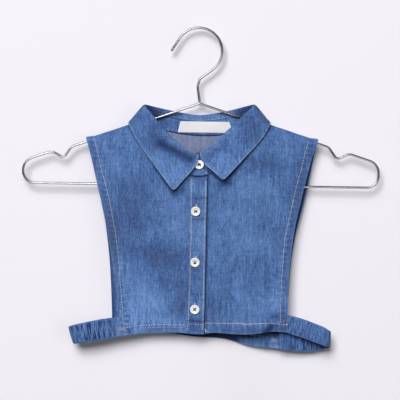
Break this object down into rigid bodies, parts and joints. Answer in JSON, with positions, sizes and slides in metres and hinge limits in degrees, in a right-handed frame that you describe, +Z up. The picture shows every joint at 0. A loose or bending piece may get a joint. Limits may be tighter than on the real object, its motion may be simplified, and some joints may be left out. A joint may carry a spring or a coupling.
{
  "type": "detachable shirt collar on wire hanger",
  "caption": "Sleeveless, sideless shirt-front bib with a pointed collar, button band and gathered elastic side straps, hung on a bent wire hanger.",
  "frame": {"origin": "where a rail carries the hanger: inside the top of the hook, at the middle of its wire's depth", "axes": "+X towards the wearer's left, -Y out of the front, +Z up along the hanger's stem"},
  "size_m": [0.4116, 0.051, 0.3727],
  "materials": {
    "chambray": "woven blue cotton chambray, matt",
    "chambray_band": "woven blue cotton chambray, interlined",
    "chambray_gathered": "chambray casing gathered over elastic",
    "button_white": "turned white resin, soft gloss",
    "label_white": "bare woven satin ribbon",
    "polished_wire": "bright plated steel wire"
  },
  "bodies": {
    "root": {"front_right": "chambray", "front_left": "chambray", "placket": "chambray_band", "back": "chambray", "collar_stand": "chambray", "collar_leaf": "chambray", "strap_right": "chambray_gathered", "strap_left": "chambray_gathered", "button_1": "button_white", "button_2": "button_white", "button_3": "button_white", "button_4": "button_white", "label": "label_white", "hanger_frame": "polished_wire", "hanger_hook": "polished_wire"}
  },
  "joints": []
}
